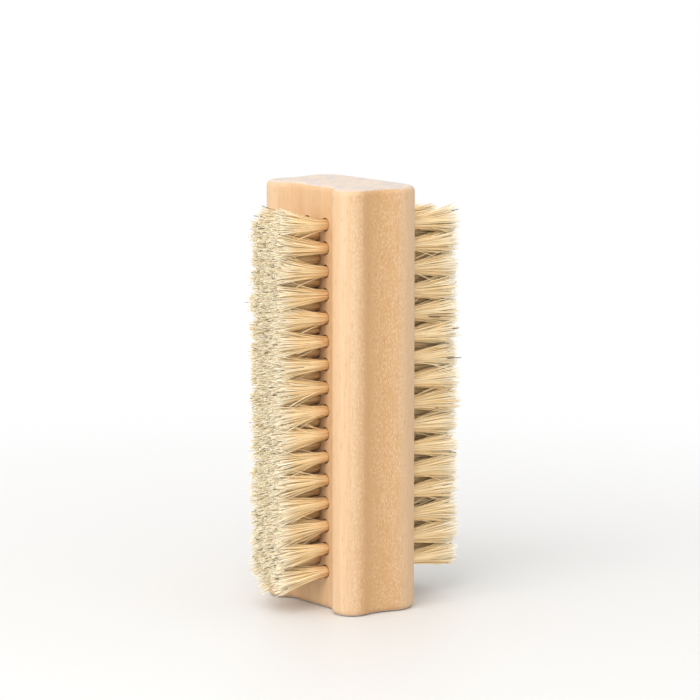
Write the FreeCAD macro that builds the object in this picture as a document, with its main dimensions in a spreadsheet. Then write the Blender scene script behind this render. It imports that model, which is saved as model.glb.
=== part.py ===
import FreeCAD, Part
import math
import os

import Sketcher

# Double-sided wooden nail brush, standing on one end. Millimetres.
# The origin is the centre of the bottom end face, and +Z runs up the length of the block.
# The narrow bristle face lies in a channel between two rounded lips and looks along -X.
# The wide bristle face is a flat bed and looks along +X.
# The two grip sides, each with a shallow groove for the fingers, look along -Y and +Y.
# Each tuft is a bundle of bristle folded double round a flat wire anchor. The anchor is driven
# to the bottom of a blind hole, where its two ends bite into the wood.

NARROW_ROWS = 4
WIDE_ROWS = 6

SIZES = {
    # Wooden block
    "block_length": 95.0,
    "block_depth": 21.0,
    "channel_depth": 2.4,
    "channel_margin": 0.35,
    "flank_radius": 2.9,
    "lip_flat": 0.8,
    "lip_radius": 4.2,
    "groove_radius": 12.5,
    "bed_margin": 1.35,
    "bed_corner_radius": 6.2,
    "end_rounding": 1.4,
    # Drilled holes
    "row_spacing": 3.3,
    "narrow_tuft_pitch": 5.2,
    "wide_tuft_pitch": 5.1,
    "end_margin": 8.4,
    "hole_diameter": 3.0,
    "hole_depth": 7.0,
    "drill_point_angle": 118.0,
    # Wire anchors
    "anchor_thickness": 0.3,
    "anchor_height": 2.0,
    "anchor_bite": 0.35,
    # Bristle tufts
    "narrow_bristle_length": 13.0,
    "wide_bristle_length": 14.5,
    "tuft_tip_diameter": 4.0,
    "tuft_clearance": 0.1,
    "fold_height": 1.0,
    "slot_clearance": 0.05,
}

# The planes that the two bristle faces are drilled from, by their X.
NARROW_FACE = "Sizes.channel_depth - Sizes.block_depth / 2"
WIDE_FACE = "Sizes.block_depth / 2"

# How deep the foot and the head of an anchor lie below the mouth of its hole.
ANCHOR_FOOT = "Sizes.hole_depth - Sizes.tuft_clearance - Sizes.fold_height"
ANCHOR_HEAD = f"{ANCHOR_FOOT} - Sizes.anchor_height"

# Sketch references: the ends and the centre of a piece, and the sketch's own origin and X axis.
START, END, CENTRE = 1, 2, 3
X_AXIS = -1
Y_AXIS = -2
ORIGIN = (-1, 1)

FLAT = 1e-6
UP = FreeCAD.Vector(0, 0, 1)


def tuft_count(face, row):
    """Return the expression for the number of tufts in a row of a face.

    The rows are staggered. The first row of a face, and every second row after it, has a tuft at
    each pitch that fits between the end margins. The rows between have one tuft less.
    """
    room = "Sizes.block_length - 2 * Sizes.end_margin"
    pitches = f"floor(({room}) / Sizes.{face}_tuft_pitch)"
    return f"{pitches} + 1" if row % 2 == 0 else pitches


def lowest_tuft(face, row):
    """Return the expression for the Z of the lowest tuft in a row, centred on the length."""
    span = f"Sizes.{face}_tuft_pitch * ({tuft_count(face, row)} - 1)"
    return f"(Sizes.block_length - {span}) / 2"


def row_place(row, rows):
    """Return the expression for the Y of a row, counted from the row nearest -Y."""
    return f"Sizes.row_spacing * {row - (rows - 1) / 2}"


def half_width(rows, margin):
    """Return the expression for half the flat that holds so many rows and a margin."""
    return f"{row_place(rows - 1, rows)} + Sizes.hole_diameter / 2 + Sizes.{margin}"


def new_sheet(doc):
    """Return the spreadsheet that holds every driving size, one alias a row."""
    sheet = doc.addObject("Spreadsheet::Sheet", "Sizes")
    for line, (alias, value) in enumerate(SIZES.items(), start=1):
        sheet.set(f"A{line}", alias)
        sheet.set(f"B{line}", str(value))
        sheet.setAlias(f"B{line}", alias)
    doc.recompute()
    return sheet


def origin_plane(body, role):
    """Return the origin plane of a body that has this role."""
    return next(plane for plane in body.Origin.OriginFeatures if plane.Role == role)


def new_body(doc, label):
    """Return an empty body whose label names its file, and which may hold several solids."""
    body = doc.addObject("PartDesign::Body", label)
    body.Label = label
    body.AllowCompound = True
    return body


def new_sketch(body, name, role):
    """Return an empty sketch on one of the body's own origin planes."""
    sketch = body.newObject("Sketcher::SketchObject", name)
    sketch.AttachmentSupport = (origin_plane(body, role), [""])
    sketch.MapMode = "FlatFace"
    return sketch


def bind(owner, expressions):
    """Bind each named property of an object to an expression on the sheet."""
    for path, expression in expressions.items():
        owner.setExpression(path, expression)


def worth(owner, expression):
    """Return what an expression on the sheet is worth now, as a plain number."""
    return float(owner.evalExpression(expression))


def dimension(sketch, name, expression, kind, *places):
    """Add a named dimension to a sketch and bind its value to the sheet."""
    value = worth(sketch, expression)
    index = sketch.addConstraint(Sketcher.Constraint(kind, *places, value))
    sketch.renameConstraint(index, name)
    sketch.setExpression(f"Constraints.{name}", expression)


def line(start, end):
    """Return the straight piece between two points of a sketch's plane."""
    return Part.LineSegment(FreeCAD.Vector(*start, 0), FreeCAD.Vector(*end, 0))


def arc(centre, radius, start, end):
    """Return the arc that turns counter-clockwise between two angles in radians."""
    return Part.ArcOfCircle(Part.Circle(centre, UP, radius), start, end)


def closed_outline(sketch, corners):
    """Draw straight pieces from corner to corner and join their ends."""
    count = len(corners)
    for index, corner in enumerate(corners):
        sketch.addGeometry(line(corner, corners[(index + 1) % count]), False)
    for index in range(count):
        sketch.addConstraint(
            Sketcher.Constraint("Coincident", index, END, (index + 1) % count, START)
        )


def bearing(start, end):
    """Return the angle of the line from one point of the plane to another."""
    return math.atan2(end.y - start.y, end.x - start.x)


def touching_centre(first, first_reach, second, second_reach):
    """Return the point at one distance from each of two centres, to the left of their line."""
    span = second - first
    along = (first_reach**2 - second_reach**2 + span.Length**2) / (2 * span.Length)
    aside = math.sqrt(first_reach**2 - along**2)
    unit = FreeCAD.Vector(span.x, span.y, 0).normalize()
    return first + unit * along + FreeCAD.Vector(-unit.y, unit.x, 0) * aside


def section_pieces(sheet):
    """Return the lines and arcs round the +Y half of the block's section.

    The channel floor turns into an S-shaped flank of two equal arcs. The lip has a short flat
    crest and a round outer corner. The grip groove is one hollow arc that touches the corner of
    the lip and the corner of the bed from outside.
    """
    half_depth = sheet.block_depth / 2
    floor_x = sheet.channel_depth - half_depth
    floor_y = worth(sheet, half_width(NARROW_ROWS, "channel_margin"))
    bed_y = worth(sheet, half_width(WIDE_ROWS, "bed_margin"))
    flank = sheet.flank_radius
    turn = math.acos(1 - sheet.channel_depth / (2 * flank))
    crest_y = floor_y + 2 * flank * math.sin(turn)
    lip_y = crest_y + sheet.lip_flat
    lip = sheet.lip_radius
    groove = sheet.groove_radius
    corner = sheet.bed_corner_radius
    foot_centre = FreeCAD.Vector(floor_x - flank, floor_y, 0)
    flank_centre = FreeCAD.Vector(flank - half_depth, crest_y, 0)
    lip_centre = FreeCAD.Vector(lip - half_depth, lip_y, 0)
    bed_centre = FreeCAD.Vector(half_depth - corner, bed_y, 0)
    groove_centre = touching_centre(lip_centre, lip + groove, bed_centre, corner + groove)
    return [
        line((floor_x, 0), (floor_x, floor_y)),
        arc(foot_centre, flank, 0, turn),
        arc(flank_centre, flank, math.pi, math.pi + turn),
        line((-half_depth, crest_y), (-half_depth, lip_y)),
        arc(lip_centre, lip, bearing(lip_centre, groove_centre), math.pi),
        arc(
            groove_centre,
            groove,
            bearing(groove_centre, lip_centre),
            bearing(groove_centre, bed_centre),
        ),
        arc(bed_centre, corner, 0, bearing(bed_centre, groove_centre)),
        line((half_depth, bed_y), (half_depth, 0)),
        line((half_depth, 0), (floor_x, 0)),
    ]


def draw_section(body, sheet):
    """Draw the half section of the block, tie it fully to the sheet and return its sketch."""
    sketch = new_sketch(body, "half_section", "XY_Plane")
    sketch.addGeometry(section_pieces(sheet), False)
    floor, foot, flank, crest, lip, groove, corner, bed, middle = range(9)
    smooth_joins = [
        (floor, END, foot, START),
        (foot, END, flank, END),
        (flank, START, crest, START),
        (crest, END, lip, END),
        (lip, START, groove, START),
        (groove, END, corner, END),
        (corner, START, bed, START),
    ]
    for join in smooth_joins:
        sketch.addConstraint(Sketcher.Constraint("Tangent", *join))
    sketch.addConstraint(Sketcher.Constraint("Coincident", bed, END, middle, START))
    sketch.addConstraint(Sketcher.Constraint("Coincident", middle, END, floor, START))
    sketch.addConstraint(Sketcher.Constraint("PointOnObject", floor, START, X_AXIS))
    sketch.addConstraint(Sketcher.Constraint("PointOnObject", bed, END, X_AXIS))
    for upright in (floor, crest, bed):
        sketch.addConstraint(Sketcher.Constraint("Vertical", upright))
    radii = {
        foot: "flank_radius",
        flank: "flank_radius",
        lip: "lip_radius",
        groove: "groove_radius",
        corner: "bed_corner_radius",
    }
    for piece, alias in radii.items():
        dimension(sketch, f"radius_{piece}", f"Sizes.{alias}", "Radius", piece)
    half_depth = "Sizes.block_depth / 2"
    dimension(sketch, "crest_place", half_depth, "DistanceX", crest, END, *ORIGIN)
    dimension(sketch, "bed_place", half_depth, "DistanceX", *ORIGIN, bed, END)
    dimension(sketch, "depth", "Sizes.channel_depth", "DistanceX", crest, START, floor, END)
    dimension(sketch, "crest_flat", "Sizes.lip_flat", "DistanceY", crest, START, crest, END)
    floor_half = half_width(NARROW_ROWS, "channel_margin")
    bed_half = half_width(WIDE_ROWS, "bed_margin")
    dimension(sketch, "floor_half", floor_half, "DistanceY", floor, START, floor, END)
    dimension(sketch, "bed_half", bed_half, "DistanceY", bed, END, bed, START)
    return sketch


def end_edges(shape, length):
    """Return the names of the edges that lie in the two end faces."""
    names = []
    for index, edge in enumerate(shape.Edges, start=1):
        box = edge.BoundBox
        at_end = abs(box.ZMin) < FLAT or abs(box.ZMin - length) < FLAT
        if at_end and box.ZLength < FLAT:
            names.append(f"Edge{index}")
    return names


def repeat_up(body, name, features, direction, face, row):
    """Repeat features at the tuft pitch of a face up the length of the brush."""
    pattern = body.newObject("PartDesign::LinearPattern", name)
    pattern.Originals = features
    pattern.Direction = direction
    pattern.Mode = "Spacing"
    bind(pattern, {"Offset": f"Sizes.{face}_tuft_pitch", "Occurrences": tuft_count(face, row)})
    body.Tip = pattern


def drill_face(doc, body, face, rows, plane, along_x):
    """Drill the blind holes of one bristle face, first the full rows and then the short ones."""
    for first_row, kind in enumerate(("full", "short")):
        before = body.Shape.Volume
        sketch = new_sketch(body, f"{face}_{kind}_hole_centres", "YZ_Plane")
        bind(sketch, {"AttachmentOffset.Base.z": plane})
        for row in range(first_row, rows, 2):
            across = row_place(row, rows)
            up = lowest_tuft(face, row)
            centre = FreeCAD.Vector(worth(sketch, across), worth(sketch, up), 0)
            radius = worth(sketch, "Sizes.hole_diameter / 2")
            circle = sketch.addGeometry(Part.Circle(centre, UP, radius), False)
            dimension(sketch, f"across_{row}", across, "DistanceX", *ORIGIN, circle, CENTRE)
            dimension(sketch, f"up_{row}", up, "DistanceY", *ORIGIN, circle, CENTRE)
            dimension(sketch, f"bore_{row}", "Sizes.hole_diameter", "Diameter", circle)
        doc.recompute()
        holes = body.newObject("PartDesign::Hole", f"{face}_{kind}_holes")
        holes.Profile = sketch
        holes.DepthType = "Dimension"
        holes.DrillPoint = "Angled"
        holes.Reversed = along_x
        bind(holes, {
            "Diameter": "Sizes.hole_diameter",
            "Depth": "Sizes.hole_depth",
            "DrillPointAngle": "Sizes.drill_point_angle",
        })
        doc.recompute()
        upward = (sketch, ["V_Axis"])
        repeat_up(body, f"{face}_{kind}_hole_rows", [holes], upward, face, first_row)
        doc.recompute()
        if body.Shape.Volume >= before:
            raise RuntimeError(f"the {kind} rows of the {face} face cut nothing")


def build_block(doc, sheet):
    """Build the one-piece wooden block: a mirrored section, rounded ends and blind holes."""
    body = new_body(doc, "wood_block")
    half = body.newObject("PartDesign::Pad", "half_block")
    half.Profile = draw_section(body, sheet)
    bind(half, {"Length": "Sizes.block_length"})
    doc.recompute()
    whole = body.newObject("PartDesign::Mirrored", "whole_block")
    whole.Originals = [half]
    whole.MirrorPlane = (origin_plane(body, "XZ_Plane"), [""])
    body.Tip = whole
    doc.recompute()
    rounded = body.newObject("PartDesign::Fillet", "rounded_ends")
    rounded.Base = (whole, end_edges(whole.Shape, sheet.block_length))
    bind(rounded, {"Radius": "Sizes.end_rounding"})
    doc.recompute()
    drill_face(doc, body, "narrow", NARROW_ROWS, NARROW_FACE, True)
    drill_face(doc, body, "wide", WIDE_ROWS, WIDE_FACE, False)
    return body


def strip_outline(body, name, foot, head, half_span):
    """Draw a rectangle across a tuft's axis, from a foot depth to a head depth in the wood."""
    sketch = new_sketch(body, name, "XY_Plane")
    foot_x = -worth(sketch, foot)
    head_x = -worth(sketch, head)
    side = worth(sketch, half_span)
    closed_outline(sketch, [(foot_x, -side), (head_x, -side), (head_x, side), (foot_x, side)])
    lower, right, upper, left = range(4)
    sketch.addConstraint(Sketcher.Constraint("Horizontal", lower))
    sketch.addConstraint(Sketcher.Constraint("Horizontal", upper))
    sketch.addConstraint(Sketcher.Constraint("Vertical", left))
    sketch.addConstraint(Sketcher.Constraint("Symmetric", right, START, right, END, X_AXIS))
    dimension(sketch, "foot", foot, "DistanceX", left, END, *ORIGIN)
    dimension(sketch, "head", head, "DistanceX", right, END, *ORIGIN)
    dimension(sketch, "span", f"2 * ({half_span})", "DistanceY", right, START, right, END)
    return sketch


def build_anchors(doc, label, face, row):
    """Build one row of flat wire anchors, each across the bottom of its hole."""
    body = new_body(doc, label)
    reach = "Sizes.hole_diameter / 2 + Sizes.anchor_bite"
    outline = strip_outline(body, f"{label}_outline", ANCHOR_FOOT, ANCHOR_HEAD, reach)
    strip = body.newObject("PartDesign::Pad", f"{label}_strip")
    strip.Profile = outline
    strip.SideType = "Symmetric"
    bind(strip, {"Length": "Sizes.anchor_thickness"})
    doc.recompute()
    repeat_up(body, f"{label}_row", [strip], (outline, ["N_Axis"]), face, row)
    return body


def draw_bundle(body, label, length):
    """Draw half the long section of a tuft: root in the hole, then the flare to the tips."""
    sketch = new_sketch(body, f"{label}_profile", "XY_Plane")
    depth = "Sizes.hole_depth - Sizes.tuft_clearance"
    root_radius = "Sizes.hole_diameter / 2 - Sizes.tuft_clearance"
    tip_radius = "Sizes.tuft_tip_diameter / 2"
    foot_x = -worth(sketch, depth)
    tip_x = worth(sketch, length)
    root_y = worth(sketch, root_radius)
    tip_y = worth(sketch, tip_radius)
    closed_outline(sketch, [(foot_x, 0), (foot_x, root_y), (0, root_y), (tip_x, tip_y), (tip_x, 0)])
    foot, root, flare, tip, axis = range(5)
    sketch.addConstraint(Sketcher.Constraint("Vertical", foot))
    sketch.addConstraint(Sketcher.Constraint("Horizontal", root))
    sketch.addConstraint(Sketcher.Constraint("PointOnObject", flare, START, Y_AXIS))
    sketch.addConstraint(Sketcher.Constraint("Vertical", tip))
    sketch.addConstraint(Sketcher.Constraint("PointOnObject", axis, START, X_AXIS))
    sketch.addConstraint(Sketcher.Constraint("PointOnObject", axis, END, X_AXIS))
    dimension(sketch, "depth", depth, "DistanceX", foot, START, *ORIGIN)
    dimension(sketch, "length", length, "DistanceX", *ORIGIN, tip, END)
    dimension(sketch, "root_radius", root_radius, "DistanceY", foot, START, foot, END)
    dimension(sketch, "tip_radius", tip_radius, "DistanceY", tip, END, tip, START)
    return sketch


def build_tufts(doc, label, face, row, length):
    """Build one row of tufts, each folded round its anchor: a root with a slot, then a flare."""
    body = new_body(doc, label)
    profile = draw_bundle(body, label, length)
    bundle = body.newObject("PartDesign::Revolution", f"{label}_bundle")
    bundle.Profile = profile
    bundle.ReferenceAxis = (profile, ["H_Axis"])
    doc.recompute()
    before = body.Shape.Volume
    slot_head = f"{ANCHOR_HEAD} - Sizes.slot_clearance"
    outline = strip_outline(
        body, f"{label}_slot_outline", ANCHOR_FOOT, slot_head, "Sizes.hole_diameter"
    )
    slot = body.newObject("PartDesign::Pocket", f"{label}_slot")
    slot.Profile = outline
    slot.SideType = "Symmetric"
    bind(slot, {"Length": "Sizes.anchor_thickness + 2 * Sizes.slot_clearance"})
    doc.recompute()
    if body.Shape.Volume >= before:
        raise RuntimeError(f"the slot of {label} cuts nothing")
    repeat_up(body, f"{label}_row", [bundle, slot], (profile, ["N_Axis"]), face, row)
    return body


def build_face(doc, face, rows, plane, turn, length):
    """Build the tufts and anchors of one bristle face, row by row.

    Each row is built in a frame whose +X leaves the wood at the mouth of its lowest hole. That
    frame is then turned about Z, by so many degrees, and set on the face.
    """
    bodies = []
    for row in range(rows):
        tufts = build_tufts(doc, f"{face}_tufts_row_{row + 1}", face, row, length)
        anchors = build_anchors(doc, f"{face}_anchors_row_{row + 1}", face, row)
        for body in (tufts, anchors):
            body.Placement = FreeCAD.Placement(FreeCAD.Vector(), FreeCAD.Rotation(UP, turn))
            bind(body, {
                "Placement.Base.x": plane,
                "Placement.Base.y": row_place(row, rows),
                "Placement.Base.z": lowest_tuft(face, row),
            })
            bodies.append(body)
    doc.recompute()
    return bodies


def check_document(doc, bodies):
    """Stop if any object of the document failed or any piece has no valid shape."""
    for item in doc.Objects:
        if {"Invalid", "Error"} & set(item.State):
            raise RuntimeError(f"{item.Label} failed: {item.State}")
    for body in bodies:
        if body.Shape.isNull() or not body.Shape.isValid():
            raise RuntimeError(f"{body.Label} has no valid shape")


def main():
    """Build the brush and write one file for each named piece."""
    os.makedirs("parts", exist_ok=True)
    doc = FreeCAD.newDocument("nail_brush")
    sheet = new_sheet(doc)
    bodies = [build_block(doc, sheet)]
    bodies += build_face(doc, "narrow", NARROW_ROWS, NARROW_FACE, 180, "Sizes.narrow_bristle_length")
    bodies += build_face(doc, "wide", WIDE_ROWS, WIDE_FACE, 0, "Sizes.wide_bristle_length")
    check_document(doc, bodies)
    for body in bodies:
        shape = body.Shape
        shape.exportStep(f"parts/{body.Label}.step")
        print(f"{body.Label}: {len(shape.Solids)} solids, {shape.Volume:.1f} mm3")


main()
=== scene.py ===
"""Looks of a two-sided nail brush: a moulded beech block with natural bristle in both faces.

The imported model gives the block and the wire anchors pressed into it. This script gives those
their finish and sets bristles in place of the plain tuft solids. Lengths are metres, in the frame
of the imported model: X runs along the bristles, Y across the block and Z up its length.
"""

import logging
import math
from dataclasses import dataclass
from enum import Enum

import bpy
import numpy as np
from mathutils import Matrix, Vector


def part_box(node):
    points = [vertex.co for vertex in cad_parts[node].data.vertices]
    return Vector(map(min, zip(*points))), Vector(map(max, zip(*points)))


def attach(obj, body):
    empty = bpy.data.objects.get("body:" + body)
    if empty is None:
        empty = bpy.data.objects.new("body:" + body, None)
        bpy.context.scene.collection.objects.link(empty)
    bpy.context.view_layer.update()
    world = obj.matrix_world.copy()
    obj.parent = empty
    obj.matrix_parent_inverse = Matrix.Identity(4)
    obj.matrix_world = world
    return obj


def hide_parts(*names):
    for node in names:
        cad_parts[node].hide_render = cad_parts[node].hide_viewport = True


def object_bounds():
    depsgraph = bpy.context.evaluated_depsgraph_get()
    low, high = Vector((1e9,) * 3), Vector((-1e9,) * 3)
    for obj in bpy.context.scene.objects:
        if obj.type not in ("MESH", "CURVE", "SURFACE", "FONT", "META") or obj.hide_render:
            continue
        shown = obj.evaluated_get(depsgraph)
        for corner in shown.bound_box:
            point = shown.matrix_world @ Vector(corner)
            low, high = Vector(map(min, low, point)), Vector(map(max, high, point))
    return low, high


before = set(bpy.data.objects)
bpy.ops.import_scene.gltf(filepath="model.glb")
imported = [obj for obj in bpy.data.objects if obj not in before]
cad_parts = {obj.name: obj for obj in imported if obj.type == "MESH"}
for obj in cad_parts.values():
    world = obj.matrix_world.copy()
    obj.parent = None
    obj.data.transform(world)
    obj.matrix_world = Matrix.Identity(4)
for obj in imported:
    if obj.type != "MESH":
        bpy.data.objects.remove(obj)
CAD_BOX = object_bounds()

log = logging.getLogger("nail_brush")

MM = 0.001
BODY = "root"
# The photograph's image is square, this many pixels a side.
IMAGE_SIDE = 700
# Numbers of the colour sockets on a Mix node.
MIX_FACTOR = 0
MIX_A = 6
MIX_B = 7
MIX_RESULT = 2
WHITE = (1.0, 1.0, 1.0, 1.0)
# Every noise has this many finer layers.
NOISE_DETAIL = 2.0
# Scale at which Blender's wave texture has one wave to a unit of length.
ONE_WAVE = math.tau / 20
# Map of the bristles' colours: along the bristle in one direction, from hair to hair in the other.
HAIR_MAP = "OFBake"
SEED = 2412

Tree = bpy.types.NodeTree
Socket = bpy.types.NodeSocket
Value = Socket | float | tuple[float, ...]


def linear(hex_code: str) -> tuple[float, float, float, float]:
    """Turn an sRGB hex colour into linear red, green, blue and alpha.

    Args:
        hex_code: Six hexadecimal digits, such as F4D2A8.

    Returns:
        Linear colour with an alpha of 1.
    """
    shares = [int(hex_code[i : i + 2], 16) / 255 for i in (0, 2, 4)]
    red, green, blue = (s / 12.92 if s <= 0.04045 else ((s + 0.055) / 1.055) ** 2.4 for s in shares)
    return red, green, blue, 1.0


def direction(azimuth: float, elevation: float) -> np.ndarray:
    """Unit vector from the brush towards a place round it.

    Args:
        azimuth: Degrees round Z, 0 at -Y and 90 at +X.
        elevation: Degrees above level.

    Returns:
        The vector's X, Y and Z.
    """
    turn, rise = math.radians(azimuth), math.radians(elevation)
    level = math.cos(rise)
    return np.array([math.sin(turn) * level, -math.cos(turn) * level, math.sin(rise)])


def fill_inputs(tree: Tree, node: bpy.types.Node, inputs: dict[str | int, Value]) -> None:
    """Fill a node's inputs.

    Args:
        tree: Node tree that the node is in.
        node: Node to fill.
        inputs: Sockets by name or number, each with a value to set or a socket to link from.
    """
    for socket, value in inputs.items():
        if isinstance(value, Socket):
            tree.links.new(value, node.inputs[socket])
        else:
            node.inputs[socket].default_value = value


def add_node(
    tree: Tree,
    kind: str,
    settings: dict[str, object] | None = None,
    inputs: dict[str | int, Value] | None = None,
) -> bpy.types.Node:
    """Add a node, set its properties and fill its inputs.

    Args:
        tree: Node tree that gets the node.
        kind: Blender's name for the node's class.
        settings: Properties of the node, by name.
        inputs: Sockets by name or number, each with a value to set or a socket to link from.

    Returns:
        The new node.
    """
    node = tree.nodes.new(kind)
    for name, value in (settings or {}).items():
        setattr(node, name, value)
    fill_inputs(tree, node, inputs or {})
    return node


def mixed_colour(tree: Tree, share: Value, first: Value, second: Value) -> Socket:
    """Blend two colours.

    Args:
        tree: Node tree that gets the node.
        share: Share of the second colour, held between 0 and 1.
        first: Colour at a share of 0.
        second: Colour at a share of 1.

    Returns:
        Socket with the blend.
    """
    inputs = {MIX_FACTOR: share, MIX_A: first, MIX_B: second}
    return add_node(tree, "ShaderNodeMix", {"data_type": "RGBA"}, inputs).outputs[MIX_RESULT]


def calculated(tree: Tree, operation: str, *values: Value) -> Socket:
    """Calculate with one Math node.

    Args:
        tree: Node tree that gets the node.
        operation: Blender's name for the operation.
        values: What goes into the operation, in its order.

    Returns:
        Socket with the result.
    """
    inputs = dict(enumerate(values))
    return add_node(tree, "ShaderNodeMath", {"operation": operation}, inputs).outputs["Value"]


def carried_over(
    tree: Tree,
    value: Value,
    source: tuple[Value, Value] = (0.0, 1.0),
    target: tuple[Value, Value] = (0.0, 1.0),
    soft: bool = False,
) -> Socket:
    """Carry a value over from one range to another, and hold it at the ends.

    Args:
        tree: Node tree that gets the node.
        value: Value to carry over.
        source: Values that go to the two ends of the target.
        target: The two ends of the result.
        soft: Whether the result eases into its ends.

    Returns:
        Socket with the result.
    """
    settings = {"interpolation_type": "SMOOTHSTEP" if soft else "LINEAR"}
    inputs = {
        "Value": value,
        "From Min": source[0],
        "From Max": source[1],
        "To Min": target[0],
        "To Max": target[1],
    }
    return add_node(tree, "ShaderNodeMapRange", settings, inputs).outputs["Result"]


def coordinate(tree: Tree, vector: Socket, axis: str) -> Socket:
    """Take one coordinate of a vector.

    Args:
        tree: Node tree that gets the node.
        vector: Socket with the vector.
        axis: X, Y or Z.

    Returns:
        Socket with the coordinate.
    """
    return add_node(tree, "ShaderNodeSeparateXYZ", {}, {"Vector": vector}).outputs[axis]


def seen_directly(tree: Tree) -> Socket:
    """Tell rays that show the background from rays that light the brush.

    Args:
        tree: Node tree that asks.

    Returns:
        Socket that is 1 for camera, glossy and transmission rays and 0 for others.
    """
    path = add_node(tree, "ShaderNodeLightPath").outputs
    mirrored = calculated(tree, "MAXIMUM", path["Is Glossy Ray"], path["Is Transmission Ray"])
    return calculated(tree, "MAXIMUM", path["Is Camera Ray"], mirrored)


def new_material(name: str) -> tuple[bpy.types.Material, Tree, bpy.types.Node]:
    """Start a material with Blender's principled shader.

    Args:
        name: Name of the material.

    Returns:
        The material, its node tree and its shader node.
    """
    material = bpy.data.materials.new(name)
    material.use_nodes = True
    return material, material.node_tree, material.node_tree.nodes["Principled BSDF"]


def triangle_object(
    name: str, points: np.ndarray, triangles: np.ndarray, hair_map: np.ndarray | None = None
) -> bpy.types.Object:
    """Put a triangle mesh into the scene, flat shaded, with its place in its points.

    Args:
        name: Name of the object and its mesh.
        points: Vertex positions, one row of three each.
        triangles: Vertex numbers, one row of three each, outside seen anticlockwise.
        hair_map: Places on the hair map, one row of two for each triangle corner, if any.

    Returns:
        The new object, at the origin.
    """
    mesh = bpy.data.meshes.new(name)
    mesh.vertices.add(len(points))
    mesh.vertices.foreach_set("co", points.astype(np.float32).ravel())
    mesh.loops.add(triangles.size)
    mesh.loops.foreach_set("vertex_index", triangles.astype(np.int32).ravel())
    mesh.polygons.add(len(triangles))
    mesh.polygons.foreach_set("loop_start", np.arange(0, triangles.size, 3, dtype=np.int32))
    mesh.polygons.foreach_set("use_smooth", np.zeros(len(triangles), dtype=bool))
    if hair_map is not None:
        layer = mesh.uv_layers.new(name=HAIR_MAP)
        layer.uv.foreach_set("vector", hair_map.astype(np.float32).ravel())
    mesh.update(calc_edges=True)
    piece = bpy.data.objects.new(name, mesh)
    bpy.context.scene.collection.objects.link(piece)
    return piece


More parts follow.
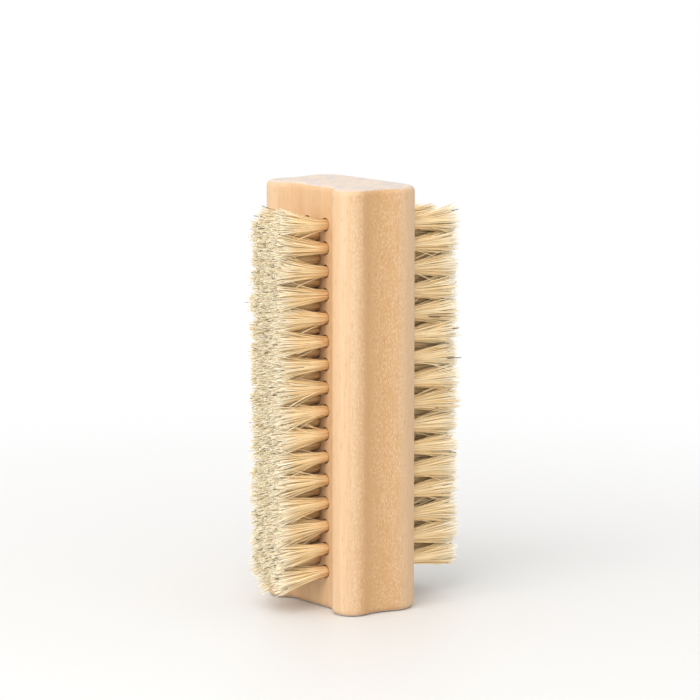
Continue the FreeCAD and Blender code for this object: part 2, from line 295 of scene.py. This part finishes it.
@dataclass(frozen=True)
class SandedBeech:
    """Steamed beech, moulded along the grain, sanded and left bare.

    The eye sees a pale, warm and nearly matt wood with fine straight streaks up the block, short
    pore dashes, small light ray flecks where a face lies along the rays, and a paler clouded end.
    An edge is the pair of values between which a pattern goes from none to all of it.
    """

    name: str = "sanded_beech"
    early_wood: str = "DCBB96"
    late_wood: str = "D0AA80"
    # Colour of the stripe along the side grooves: partly the wood's own darker tone, partly painted
    # shade of the grooves.
    heart_and_shade: str = "CC9F6D"
    pore: str = "AE7E4F"
    ray: str = "EACFAC"
    end_grain: str = "E1CEBA"
    end_grey: str = "D2C6C0"
    end_pore: str = "B9A58F"
    ior: float = 1.5
    roughness: tuple[float, float] = (0.46, 0.60)

    # The tone is 0 in early wood and 1 in late wood, and these patterns add to where it starts.
    first_tone: float = -0.85
    figure_tone: float = 0.9
    ring_tone: float = 0.35
    fibre_tone: float = 1.1
    figure_width: float = 5.0 * MM
    figure_length: float = 70.0 * MM
    fibre_width: float = 0.42 * MM
    fibre_length: float = 11.0 * MM

    ring_width: float = 2.6 * MM
    pith: tuple[float, float] = (-58.0 * MM, 64.0 * MM)
    # The rings' waviness is drawn out along the grain by this much.
    ring_stretch: float = 30.0
    ring_waviness: float = 2.2
    ring_wave_scale: float = 0.6

    # Place and width of the darker stripe along the side grooves, which is partly painted shade of
    # the grooves.
    heart_and_shade_middle: float = -0.5 * MM
    heart_and_shade_edge: tuple[float, float] = (8.5 * MM, 3.0 * MM)
    heart_and_shade_wave: float = 3.0 * MM

    # Real pores are under 0.1 mm wide and wouldn't show, so they are drawn about twice as coarse.
    pore_width: float = 0.21 * MM
    pore_length: float = 2.3 * MM
    pore_edge: tuple[float, float] = (0.57, 0.75)
    pore_share: float = 0.48
    relief: float = 0.03 * MM
    relief_share: float = 0.6

    fleck_width: float = 0.30 * MM
    fleck_length: float = 0.80 * MM
    fleck_edge: tuple[float, float] = (0.58, 0.24)
    fleck_share: float = 0.4
    patch_width: float = 3.2 * MM
    patch_length: float = 6.4 * MM
    patch_edge: tuple[float, float] = (0.25, 0.5)
    ray_direction: tuple[float, float, float] = (0.954, -0.3, 0.0)
    ray_edge: tuple[float, float] = (0.60, 0.25)

    # The end faces look along Z, and the rounding round them blends into the long grain.
    end_edge: tuple[float, float] = (0.55, 0.97)
    end_speckle: float = 0.38 * MM
    speckle_edge: tuple[float, float] = (0.45, 0.8)
    speckle_share: float = 0.7
    end_ring_share: float = 0.12
    end_cloud: float = 3.6 * MM
    cloud_edge: tuple[float, float] = (0.40, 0.62)

    def streaks(self, tree: Tree, at: Socket, across: float, along: float) -> Socket:
        """Noise drawn out along the grain.

        Args:
            tree: Node tree of the wood.
            at: Socket with the place on the block.
            across: Width of a streak.
            along: Length of a streak, up the block.

        Returns:
            Socket with values round one half.
        """
        scale = (1 / across, 1 / across, 1 / along)
        drawn = add_node(tree, "ShaderNodeMapping", {}, {"Vector": at, "Scale": scale})
        inputs = {"Vector": drawn.outputs["Vector"], "Scale": 1.0, "Detail": NOISE_DETAIL}
        return add_node(tree, "ShaderNodeTexNoise", {}, inputs).outputs["Fac"]

    def rings(self, tree: Tree, at: Socket) -> Socket:
        """Growth rings round a pith outside the block, as waves of the distance from it.

        Args:
            tree: Node tree of the wood.
            at: Socket with the place on the block.

        Returns:
            Socket that rises from 0 in early wood to 1 in late wood.
        """
        unit = 1 / self.ring_width
        shift = (-self.pith[0] * unit, -self.pith[1] * unit, 0.0)
        scale = (unit, unit, unit / self.ring_stretch)
        centred = add_node(
            tree, "ShaderNodeMapping", {}, {"Vector": at, "Location": shift, "Scale": scale}
        )
        wave = add_node(
            tree,
            "ShaderNodeTexWave",
            {"wave_type": "RINGS", "rings_direction": "Z", "wave_profile": "SAW"},
            {
                "Vector": centred.outputs["Vector"],
                "Scale": ONE_WAVE,
                "Distortion": self.ring_waviness,
                "Detail": NOISE_DETAIL,
                "Detail Scale": self.ring_wave_scale,
            },
        )
        return wave.outputs["Fac"]

    def heart_and_shade_share(self, tree: Tree, at: Socket, figure: Socket) -> Socket:
        """Share of one broad darker, redder stripe up the block along the side grooves, with a wavy
        edge: partly the wood's own tone and partly painted shade of the grooves.

        Args:
            tree: Node tree of the wood.
            at: Socket with the place on the block.
            figure: Socket with the broad figure, which makes the edge wavy.

        Returns:
            Socket that is 1 in the stripe and 0 away from it.
        """
        across = coordinate(tree, at, "X")
        wavy = calculated(tree, "MULTIPLY_ADD", figure, self.heart_and_shade_wave, across)
        aside = calculated(tree, "SUBTRACT", wavy, self.heart_and_shade_middle)
        distance = calculated(tree, "ABSOLUTE", aside)
        return carried_over(tree, distance, self.heart_and_shade_edge, soft=True)

    def flecks(self, tree: Tree, at: Socket, normal: Socket) -> Socket:
        """Share of the light ray flecks: small spindles, in patches, on faces along the rays.

        Args:
            tree: Node tree of the wood.
            at: Socket with the place on the block.
            normal: Socket with the surface's normal.

        Returns:
            Socket that is the flecks' share on a fleck and 0 between them.
        """
        scale = (1 / self.fleck_width, 1 / self.fleck_width, 1 / self.fleck_length)
        drawn = add_node(tree, "ShaderNodeMapping", {}, {"Vector": at, "Scale": scale})
        cells = add_node(
            tree, "ShaderNodeTexVoronoi", {}, {"Vector": drawn.outputs["Vector"], "Scale": 1.0}
        )
        share = (0.0, self.fleck_share)
        spots = carried_over(tree, cells.outputs["Distance"], self.fleck_edge, share, soft=True)
        patch = self.streaks(tree, at, self.patch_width, self.patch_length)
        patches = carried_over(tree, patch, self.patch_edge, soft=True)
        facing = add_node(
            tree,
            "ShaderNodeVectorMath",
            {"operation": "DOT_PRODUCT"},
            {0: normal, 1: self.ray_direction},
        )
        turned = calculated(tree, "ABSOLUTE", facing.outputs["Value"])
        along_rays = carried_over(tree, turned, self.ray_edge, soft=True)
        in_patch = calculated(tree, "MULTIPLY", spots, patches)
        return calculated(tree, "MULTIPLY", in_patch, along_rays)

    def end_colour(self, tree: Tree, at: Socket, ring: Socket) -> Socket:
        """Pale end grain, clouded with grey, speckled by cut pores and faintly ringed.

        Args:
            tree: Node tree of the wood.
            at: Socket with the place on the block.
            ring: Socket with the growth rings.

        Returns:
            Socket with the end grain's colour.
        """
        speckle = self.streaks(tree, at, self.end_speckle, self.end_speckle)
        pitted = carried_over(tree, speckle, self.speckle_edge, (0.0, self.speckle_share))
        ringed = calculated(tree, "MULTIPLY_ADD", ring, self.end_ring_share, pitted)
        cloud = self.streaks(tree, at, self.end_cloud, self.end_cloud)
        grey = carried_over(tree, cloud, self.cloud_edge, soft=True)
        clouded = mixed_colour(tree, grey, linear(self.end_grain), linear(self.end_grey))
        return mixed_colour(tree, ringed, clouded, linear(self.end_pore))

    def material(self) -> bpy.types.Material:
        """Make the wood's material, with the grain along Z of the block's own coordinates.

        Returns:
            The material.
        """
        made, tree, shader = new_material(self.name)
        place = add_node(tree, "ShaderNodeTexCoord")
        at, normal = place.outputs["Object"], place.outputs["Normal"]
        ring = self.rings(tree, at)
        figure = self.streaks(tree, at, self.figure_width, self.figure_length)
        fibre = self.streaks(tree, at, self.fibre_width, self.fibre_length)
        pore = self.streaks(tree, at, self.pore_width, self.pore_length)

        tone = calculated(tree, "MULTIPLY_ADD", figure, self.figure_tone, self.first_tone)
        tone = calculated(tree, "MULTIPLY_ADD", ring, self.ring_tone, tone)
        tone = calculated(tree, "MULTIPLY_ADD", fibre, self.fibre_tone, tone)
        wood = mixed_colour(tree, tone, linear(self.early_wood), linear(self.late_wood))
        # The stripe along the side grooves is partly painted shade of the grooves.
        shaded_board = mixed_colour(tree, self.heart_and_shade_share(tree, at, figure), wood, linear(self.heart_and_shade))
        dashes = carried_over(tree, pore, self.pore_edge, (0.0, self.pore_share), soft=True)
        pored = mixed_colour(tree, dashes, shaded_board, linear(self.pore))
        flecked = mixed_colour(tree, self.flecks(tree, at, normal), pored, linear(self.ray))
        steep = calculated(tree, "ABSOLUTE", coordinate(tree, normal, "Z"))
        on_end = carried_over(tree, steep, self.end_edge, soft=True)
        colour = mixed_colour(tree, on_end, flecked, self.end_colour(tree, at, ring))

        height = calculated(tree, "SUBTRACT", fibre, dashes)
        bump = add_node(
            tree,
            "ShaderNodeBump",
            {},
            {"Height": height, "Distance": self.relief, "Strength": self.relief_share},
        )
        finish = {
            "Base Color": colour,
            "Roughness": carried_over(tree, fibre, target=self.roughness),
            "Normal": bump.outputs["Normal"],
            "IOR": self.ior,
        }
        fill_inputs(tree, shader, finish)
        return made


@dataclass(frozen=True)
class NaturalBristle:
    """Bleached natural bristle, a keratin hair cut to length.

    The eye sees glossy cream hairs, darker and browner at the root, partly their own straw tone and
    partly painted shade of the gaps between the tufts, paler at the tip and each of its own tint,
    with a few hairs that the bleach has left dark towards the end.
    """

    name: str = "natural_bristle"
    # The root colour is darker and browner than the hair's own, as painted shade of the gaps
    # between the tufts.
    root: str = "E6B982"
    shank: str = "FFE9BC"
    tip: str = "FFFCEC"
    straw: str = "FBD898"
    dark: str = "2C1D12"
    ior: float = 1.55
    roughness: float = 0.42
    # Shares of the bristle's length over which one colour goes over into the next.
    root_to_shank: tuple[float, float] = (0.10, 0.42)
    shank_to_tip: tuple[float, float] = (0.74, 1.0)
    straw_share: float = 0.4
    # Lanes of the hair map up to this one hold plain hairs, and those above it dark-ended ones.
    plain_lanes: float = 0.9
    dark_from: tuple[float, float] = (0.40, 0.97)
    dark_fade: float = 0.02

    def material(self) -> bpy.types.Material:
        """Make the bristle's material, whose colour depends on the place on the hair map alone.

        Returns:
            The material.
        """
        made, tree, shader = new_material(self.name)
        hair = add_node(tree, "ShaderNodeUVMap", {"uv_map": HAIR_MAP}).outputs["UV"]
        along, lane = coordinate(tree, hair, "X"), coordinate(tree, hair, "Y")
        # Towards the root the hairs darken: partly their straw tone, partly painted shade between
        # the tufts.
        past_root = carried_over(tree, along, self.root_to_shank)
        shank = mixed_colour(tree, past_root, linear(self.root), linear(self.shank))
        near_tip = carried_over(tree, along, self.shank_to_tip)
        whole = mixed_colour(tree, near_tip, shank, linear(self.tip))
        yellow = carried_over(tree, lane, (0.0, self.plain_lanes), (self.straw_share, 0.0))
        tinted = mixed_colour(tree, yellow, whole, linear(self.straw))
        start = carried_over(tree, lane, (self.plain_lanes, 1.0), self.dark_from)
        end = calculated(tree, "ADD", start, self.dark_fade)
        past_start = carried_over(tree, along, (start, end))
        dark_lane = calculated(tree, "GREATER_THAN", lane, self.plain_lanes)
        darkened = calculated(tree, "MULTIPLY", past_start, dark_lane)
        finish = {
            "Base Color": mixed_colour(tree, darkened, tinted, linear(self.dark)),
            "Roughness": self.roughness,
            "IOR": self.ior,
        }
        fill_inputs(tree, shader, finish)
        return made


@dataclass(frozen=True)
class GalvanisedWire:
    """Flat wire cut from a coil, with a hot-dipped zinc coat.

    The eye sees dull grey metal, clouded where the zinc froze in small grains.
    """

    name: str = "galvanised_wire"
    bright: str = "C6CACD"
    dull: str = "9BA0A4"
    roughness: tuple[float, float] = (0.32, 0.55)
    grain: float = 0.5 * MM

    def material(self) -> bpy.types.Material:
        """Make the wire's material.

        Returns:
            The material.
        """
        made, tree, shader = new_material(self.name)
        place = add_node(tree, "ShaderNodeTexCoord").outputs["Object"]
        inputs = {"Vector": place, "Scale": 1 / self.grain, "Detail": NOISE_DETAIL}
        cloud = add_node(tree, "ShaderNodeTexNoise", {}, inputs).outputs["Fac"]
        finish = {
            "Base Color": mixed_colour(tree, cloud, linear(self.bright), linear(self.dull)),
            "Roughness": carried_over(tree, cloud, target=self.roughness),
            "Metallic": 1.0,
        }
        fill_inputs(tree, shader, finish)
        return made


@dataclass(frozen=True)
class WhiteSheet:
    """Smooth white studio sheet under the brush.

    The eye sees it lit and softly shadowed near the brush, and as plain white further off.
    """

    name: str = "white_sheet"
    colour: str = "E1E0DE"
    roughness: float = 0.5
    white_from: float = 60.0 * MM
    white_at: float = 270.0 * MM

    def material(self) -> bpy.types.Material:
        """Make the sheet's material: lit near the brush, and plain white to the eye far from it.

        Returns:
            The material.
        """
        made, tree, shader = new_material(self.name)
        finish = {"Base Color": linear(self.colour), "Roughness": self.roughness}
        fill_inputs(tree, shader, finish)
        place = add_node(tree, "ShaderNodeTexCoord").outputs["Object"]
        away = add_node(tree, "ShaderNodeVectorMath", {"operation": "LENGTH"}, {0: place})
        reach = (self.white_from, self.white_at)
        far = carried_over(tree, away.outputs["Value"], reach, soft=True)
        seen = calculated(tree, "MULTIPLY", far, seen_directly(tree))
        white = add_node(tree, "ShaderNodeEmission", {}, {"Color": WHITE, "Strength": 1.0})
        mixed = add_node(
            tree,
            "ShaderNodeMixShader",
            {},
            {"Fac": seen, 1: shader.outputs["BSDF"], 2: white.outputs["Emission"]},
        )
        fill_inputs(tree, tree.nodes["Material Output"], {"Surface": mixed.outputs["Shader"]})
        return made


class Face(Enum):
    """The two bristled faces of the block, by the first word of their nodes' names."""

    NARROW = "narrow"
    WIDE = "wide"


@dataclass(frozen=True)
class TuftSizes:
    """How a tuft is filled, and how its bristles stand."""

    bristles: int = 280
    # Near enough to count a row's tufts by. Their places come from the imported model.
    pitch: float = 5.2 * MM
    sunk: float = 1.6 * MM
    root_radius: float = 1.14 * MM
    # Tufts spread more up the row than towards the rows beside it.
    fan: tuple[float, float] = (1.8, 2.55)
    fan_spread: float = 0.08
    thickness: float = 0.22 * MM
    thickness_spread: float = 0.15
    turn_spread: float = 0.3
    clumps: int = 30
    clump_pull: float = 0.3
    tip_scatter: float = 0.36 * MM
    tuft_scatter: float = 0.25 * MM
    bow: tuple[float, float] = (1.1, 1.8)
    crimp: float = 0.06 * MM
    crimp_waves: tuple[float, float] = (0.6, 1.4)
    # Shape of the gamma distribution by which bristles fall short of the longest.
    shortfall_shape: float = 2.0
    stray_share: float = 0.035
    stray_by: float = 2.8 * MM
    dark_share: float = 0.022
    # The higher this power, the more of the dark bristles are dark at the very tip only.
    dark_tip_power: int = 3
    lane_width: float = 0.004


@dataclass(frozen=True)
class RowHabit:
    """How the bristles of one face stand, where the two faces differ."""

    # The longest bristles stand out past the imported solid, and most end some way before it.
    longest: float
    shortfall: float
    # Tips lean outwards, across and up the face, by these shares of their distance from its
    # middle, and inwards where the share is negative.
    lean: tuple[float, float]


HABITS = {
    Face.NARROW: RowHabit(longest=0.5 * MM, shortfall=0.66 * MM, lean=(-0.18, 0.028)),
    Face.WIDE: RowHabit(longest=1.3 * MM, shortfall=0.85 * MM, lean=(0.03, 0.0)),
}


@dataclass
class TuftRow:
    """One row of tufts on one face of the block, as bristles."""

    node: str
    number: int
    sizes: TuftSizes
    # The narrow face lies this far below the block's edge, at the bottom of its channel.
    channel_depth: float = 2.4 * MM
    sides: int = 3
    # Places of a bristle's rings along it, from its buried root to its tip, and their widths.
    rings: tuple[float, ...] = (0.0, 0.12, 0.36, 0.64, 0.90, 1.0)
    taper: tuple[float, ...] = (1.0, 1.0, 1.0, 0.97, 0.92, 0.60)
    # A cap gets a little width on the map, so that it takes the colour of the end it closes.
    cap_width: float = 0.02

    def __post_init__(self) -> None:
        """Read the row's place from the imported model."""
        low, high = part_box(self.node)
        block_low, block_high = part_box("wood_block")
        face = Face(self.node.split("_")[0])
        self.habit = HABITS[face]
        self.way = -1.0 if face is Face.NARROW else 1.0
        self.mouth = block_low.x + self.channel_depth if face is Face.NARROW else block_high.x
        self.length = abs((low.x if face is Face.NARROW else high.x) - self.mouth)
        self.across = (low.y + high.y) / 2
        tip_radius = (high.y - low.y) / 2
        first, last = low.z + tip_radius, high.z - tip_radius
        count = round((last - first) / self.sizes.pitch) + 1
        self.heights = np.linspace(first, last, count)
        self.middle = (block_low.z + block_high.z) / 2
        self.rng = np.random.default_rng((SEED, self.number))

    def roots(self) -> np.ndarray:
        """Places of the bristles in the mouths of their holes, evenly spread by a sunflower spiral.

        Returns:
            Offsets from the hole's middle in Y and Z, shaped tufts by bristles by 2.
        """
        order = np.arange(self.sizes.bristles) + 0.5
        radius = self.sizes.root_radius * np.sqrt(order / self.sizes.bristles)
        golden_angle = math.pi * (3 - math.sqrt(5))
        turn = order * golden_angle + self.rng.uniform(0, math.tau, (len(self.heights), 1))
        return radius[:, None] * np.stack([np.cos(turn), np.sin(turn)], axis=-1)

    def tips(self, roots: np.ndarray) -> np.ndarray:
        """Places of the tips: roots fanned out, drawn together in clumps, leaning and scattered.

        Strays of the end tufts lean inwards, so that none stands out past the ends of a row.

        Args:
            roots: Offsets of the roots, shaped tufts by bristles by 2.

        Returns:
            Offsets of the tips from the hole's middle, shaped as the roots are.
        """
        size, rng = self.sizes, self.rng
        tufts, bristles, _ = roots.shape
        fan = np.array(size.fan) * rng.normal(1, size.fan_spread, (tufts, 1, 1))
        tips = fan * roots
        leaders = tips[:, rng.permutation(bristles)[: size.clumps]]
        apart = np.linalg.norm(tips[:, :, None] - leaders[:, None], axis=-1)
        nearest = np.take_along_axis(leaders, apart.argmin(axis=2)[..., None], axis=1)
        tips = tips + size.clump_pull * rng.random((tufts, bristles, 1)) * (nearest - tips)
        tips = tips + rng.normal(0, size.tip_scatter, tips.shape)
        tips = tips + rng.normal(0, size.tuft_scatter, (tufts, 1, 2))
        stray = rng.random((tufts, bristles)) < size.stray_share
        strayed = stray * rng.normal(0, size.stray_by, stray.shape)
        above = (self.heights - self.middle)[:, None]
        at_end = np.abs(above) > np.abs(above).max() - size.pitch
        tips[..., 1] += np.where(at_end, -np.sign(above) * np.abs(strayed), strayed)
        tips[..., 0] += self.habit.lean[0] * self.across
        tips[..., 1] += self.habit.lean[1] * above
        return tips

    def lengths(self) -> np.ndarray:
        """Free lengths of the bristles, which fall short of the longest by a gamma distribution.

        Returns:
            Lengths from the mouth of the hole, shaped tufts by bristles.
        """
        size, habit = self.sizes, self.habit
        count = (len(self.heights), size.bristles)
        shortfall = self.rng.gamma(size.shortfall_shape, habit.shortfall, count)
        return self.length + habit.longest - shortfall

    def middle_lines(self) -> np.ndarray:
        """Middle lines of the bristles.

        A point goes straight out of the face, and aside from root to tip by a power of its share
        of the free length, which bows the bristle, plus a wave of crimp that grows along it.

        Returns:
            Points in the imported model's frame, shaped tufts by bristles by rings by 3.
        """
        size, rng = self.sizes, self.rng
        roots = self.roots()
        tips = self.tips(roots)
        length = self.lengths()[..., None]
        out = -size.sunk + (size.sunk + length) * np.array(self.rings)
        share = np.clip(out / length, 0, 1)
        bow = rng.uniform(*size.bow, length.shape)
        aside = roots[:, :, None] + (tips - roots)[:, :, None] * (share**bow)[..., None]
        phase = rng.uniform(0, math.tau, (*length.shape[:2], 1, 2))
        waves = rng.uniform(*size.crimp_waves, (*length.shape[:2], 1, 1))
        wave = np.sin(math.tau * waves * share[..., None] + phase)
        aside = aside + size.crimp * share[..., None] * wave
        height = self.heights[:, None, None] + aside[..., 1]
        return np.stack([self.mouth + self.way * out, self.across + aside[..., 0], height], axis=-1)

    def surface(self, lines: np.ndarray) -> np.ndarray:
        """Rings of points round the middle lines, three to a ring, thinner towards the tip.

        Args:
            lines: Middle lines, shaped tufts by bristles by rings by 3.

        Returns:
            Vertex positions, one row of three each, bristle by bristle and ring by ring.
        """
        size, rng = self.sizes, self.rng
        thick = size.thickness * rng.normal(1, size.thickness_spread, (*lines.shape[:2], 1, 1))
        taper = np.array(self.taper)[:, None]
        # One flat side of each bristle looks out from the tuft, give or take a little.
        aside = lines[:, :, -1] - lines.mean(axis=1)[:, None, -1]
        facing = np.arctan2(aside[..., 2], self.way * aside[..., 1])[..., None, None]
        facing = facing + rng.normal(0, size.turn_spread, facing.shape)
        corner = math.tau * (np.arange(self.sides) - 0.5) / self.sides
        turn = facing + corner
        round_it = np.stack([np.zeros_like(turn), self.way * np.cos(turn), np.sin(turn)], axis=-1)
        return (lines[:, :, :, None] + (thick * taper / 2)[..., None] * round_it).reshape(-1, 3)

    def corners(self) -> tuple[np.ndarray, np.ndarray, np.ndarray]:
        """Triangles of one bristle: two to each side of each length of tube, and one at each end.

        Returns:
            Vertex numbers of the corners, their places along the bristle and their places round
            it in sides, each with one row of three for each triangle.
        """
        last = len(self.rings) - 1
        ring, side = np.meshgrid(np.arange(last), np.arange(self.sides), indexing="ij")
        ring, side = ring.reshape(-1, 1), side.reshape(-1, 1)
        up = np.array([[0, 0, 1], [0, 1, 1]])
        round_it = np.array([[0, 1, 1], [0, 1, 0]])
        rings = (ring[:, None] + up).reshape(-1, 3)
        sides = (side[:, None] + round_it).reshape(-1, 3)
        places = np.array(self.rings)[rings]
        caps = np.array([[0, 0, 0], [last, last, last]])
        cap_sides = np.array([[2, 1, 0], [0, 1, 2]])
        cap_places = np.array([[0.0, self.cap_width, 0.0], [1.0, 1.0 - self.cap_width, 1.0]])
        numbers = np.concatenate([rings, caps]) * self.sides
        numbers += np.concatenate([sides, cap_sides]) % self.sides
        along = np.concatenate([places, cap_places])
        return numbers, along, np.concatenate([sides, cap_sides])

    def build(self) -> bpy.types.Object:
        """Make the row's bristles and put them in the place of its tuft solids.

        Returns:
            The row's object.
        """
        size, rng = self.sizes, self.rng
        lines = self.middle_lines()
        points = self.surface(lines)
        numbers, along, sides = self.corners()
        hairs = lines.shape[0] * lines.shape[1]
        starts = np.arange(hairs)[:, None, None] * len(self.rings) * self.sides
        triangles = (starts + numbers).reshape(-1, 3)
        plain = NaturalBristle.plain_lanes
        lane = rng.uniform(size.lane_width, plain - size.lane_width, hairs)
        dark = rng.random(hairs) < size.dark_share
        # Bristles that are dark at the very tip only have the map's last lanes.
        dark_lanes = 1 - plain - 2 * size.lane_width
        dark_lane = 1 - size.lane_width - dark_lanes * rng.random(hairs) ** size.dark_tip_power
        lane = np.where(dark, dark_lane, lane)
        lanes = lane[:, None, None] + size.lane_width * (sides / self.sides - 0.5)
        places = np.stack([np.broadcast_to(along, lanes.shape), lanes], axis=-1).reshape(-1, 2)
        name = self.node.replace("tufts", "bristles")
        self.piece = triangle_object(name, points, triangles, places)
        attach(self.piece, BODY)
        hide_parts(self.node)
        return self.piece

    def dress(self, material: bpy.types.Material) -> None:
        """Give the bristles their finish.

        Args:
            material: The bristles' material.
        """
        self.piece.data.materials.append(material)


@dataclass(frozen=True)
class PackedPieces:
    """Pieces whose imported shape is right, and only need their finish."""

    nodes: tuple[str, ...]

    def dress(self, material: bpy.types.Material) -> None:
        """Put a finish on the pieces' own meshes.

        Args:
            material: The pieces' material.
        """
        for node in self.nodes:
            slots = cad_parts[node].data.materials
            slots.clear()
            slots.append(material)
            log.info("%s: packed shape in %s", node, material.name)


@dataclass(frozen=True)
class Softbox:
    """A square lamp that looks at the middle of the brush.

    The level is the share of white that a white surface shows when it faces the lamp.
    """

    name: str
    azimuth: float
    elevation: float
    distance: float
    side: float
    level: float

    def build(self, target: np.ndarray) -> None:
        """Hang the lamp.

        A lamp of power P lights a surface at distance d by P / (pi d^2), of which a white surface
        shows 1 / pi, so the power for a level is the level times pi^2 d^2.

        Args:
            target: Place that the lamp looks at.
        """
        lamp = bpy.data.lights.new(self.name, "AREA")
        lamp.shape = "SQUARE"
        lamp.size = self.side
        lamp.energy = self.level * math.pi**2 * self.distance**2
        holder = bpy.data.objects.new(self.name, lamp)
        holder.location = target + self.distance * direction(self.azimuth, self.elevation)
        holder.rotation_euler = (
            math.radians(90 - self.elevation),
            0.0,
            math.radians(self.azimuth),
        )
        bpy.context.scene.collection.objects.link(holder)
        log.info("%s: azimuth %.0f, elevation %.0f", self.name, self.azimuth, self.elevation)


@dataclass(frozen=True)
class PhotoCamera:
    """Camera at the photograph's place, which fits the block's outline there."""

    azimuth: float = -37.216
    distance: float = 785.67 * MM
    aside: float = 2.03 * MM
    height: float = 178.70 * MM
    pitch: float = 8.791
    focal_pixels: float = 3550.2
    sensor_mm: float = 36.0

    def build(self) -> None:
        """Set the camera up and make it the scene's."""
        lens = bpy.data.cameras.new("photo_camera")
        lens.sensor_width = self.sensor_mm
        lens.lens = self.focal_pixels / IMAGE_SIDE * self.sensor_mm
        camera = bpy.data.objects.new("photo_camera", lens)
        turn = math.radians(self.azimuth)
        right = np.array([math.cos(turn), math.sin(turn), 0.0])
        level = self.distance * direction(self.azimuth, 0.0) + self.aside * right
        camera.location = level + np.array([0.0, 0.0, self.height])
        camera.rotation_euler = (math.radians(90 - self.pitch), 0.0, turn)
        bpy.context.scene.collection.objects.link(camera)
        bpy.context.scene.camera = camera


@dataclass(frozen=True)
class Studio:
    """White sheet, soft light and camera."""

    # Level of the room's light, from level with the brush to overhead.
    ambient: tuple[float, float] = (0.70, 1.00)
    key: Softbox = Softbox(
        "key_softbox", azimuth=-62.0, elevation=40.0, distance=1.1, side=1.0, level=0.74
    )
    fill: Softbox = Softbox(
        "fill_softbox", azimuth=-95.0, elevation=12.0, distance=1.1, side=0.7, level=0.12
    )
    sheet_reach: float = 2.5
    sheet_drop: float = 0.02 * MM
    sheet: WhiteSheet = WhiteSheet()
    camera: PhotoCamera = PhotoCamera()

    def build_sheet(self) -> None:
        """Lay the sheet, a flat square just under the brush's lower end."""
        reach, low = self.sheet_reach, -self.sheet_drop
        points = np.array(
            [[-reach, -reach, low], [reach, -reach, low], [reach, reach, low], [-reach, reach, low]]
        )
        floor = triangle_object("floor", points, np.array([[0, 1, 2], [0, 2, 3]]))
        floor.data.materials.append(self.sheet.material())

    def build_world(self) -> None:
        """Light the brush from all round, most from above, and show plain white behind it."""
        world = bpy.data.worlds.new("white_room")
        world.use_nodes = True
        tree = world.node_tree
        place = add_node(tree, "ShaderNodeTexCoord").outputs["Generated"]
        room = carried_over(tree, coordinate(tree, place, "Z"), target=self.ambient)
        level = carried_over(tree, seen_directly(tree), target=(room, 1.0))
        fill_inputs(tree, tree.nodes["Background"], {"Color": WHITE, "Strength": level})
        bpy.context.scene.world = world

    def build(self) -> None:
        """Set up the sheet, the lamps, the world and the camera."""
        target = np.array([0.0, 0.0, (CAD_BOX[0].z + CAD_BOX[1].z) / 2])
        self.build_sheet()
        self.build_world()
        self.key.build(target)
        self.fill.build(target)
        self.camera.build()
        bpy.context.scene.view_settings.view_transform = "Standard"


def main() -> None:
    """Dress the block and its anchors, set the bristles and build the studio."""
    logging.basicConfig(level=logging.INFO, format="%(message)s")
    nodes = sorted(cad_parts)
    PackedPieces(("wood_block",)).dress(SandedBeech().material())
    anchors = tuple(node for node in nodes if "_anchors_" in node)
    PackedPieces(anchors).dress(GalvanisedWire().material())
    bristle = NaturalBristle().material()
    sizes = TuftSizes()
    for number, node in enumerate(node for node in nodes if "_tufts_" in node):
        row = TuftRow(node, number, sizes)
        piece = row.build()
        row.dress(bristle)
        log.info("%s: %d triangles in place of %s", piece.name, len(piece.data.polygons), node)
    Studio().build()


if __name__ == "__main__":
    main()
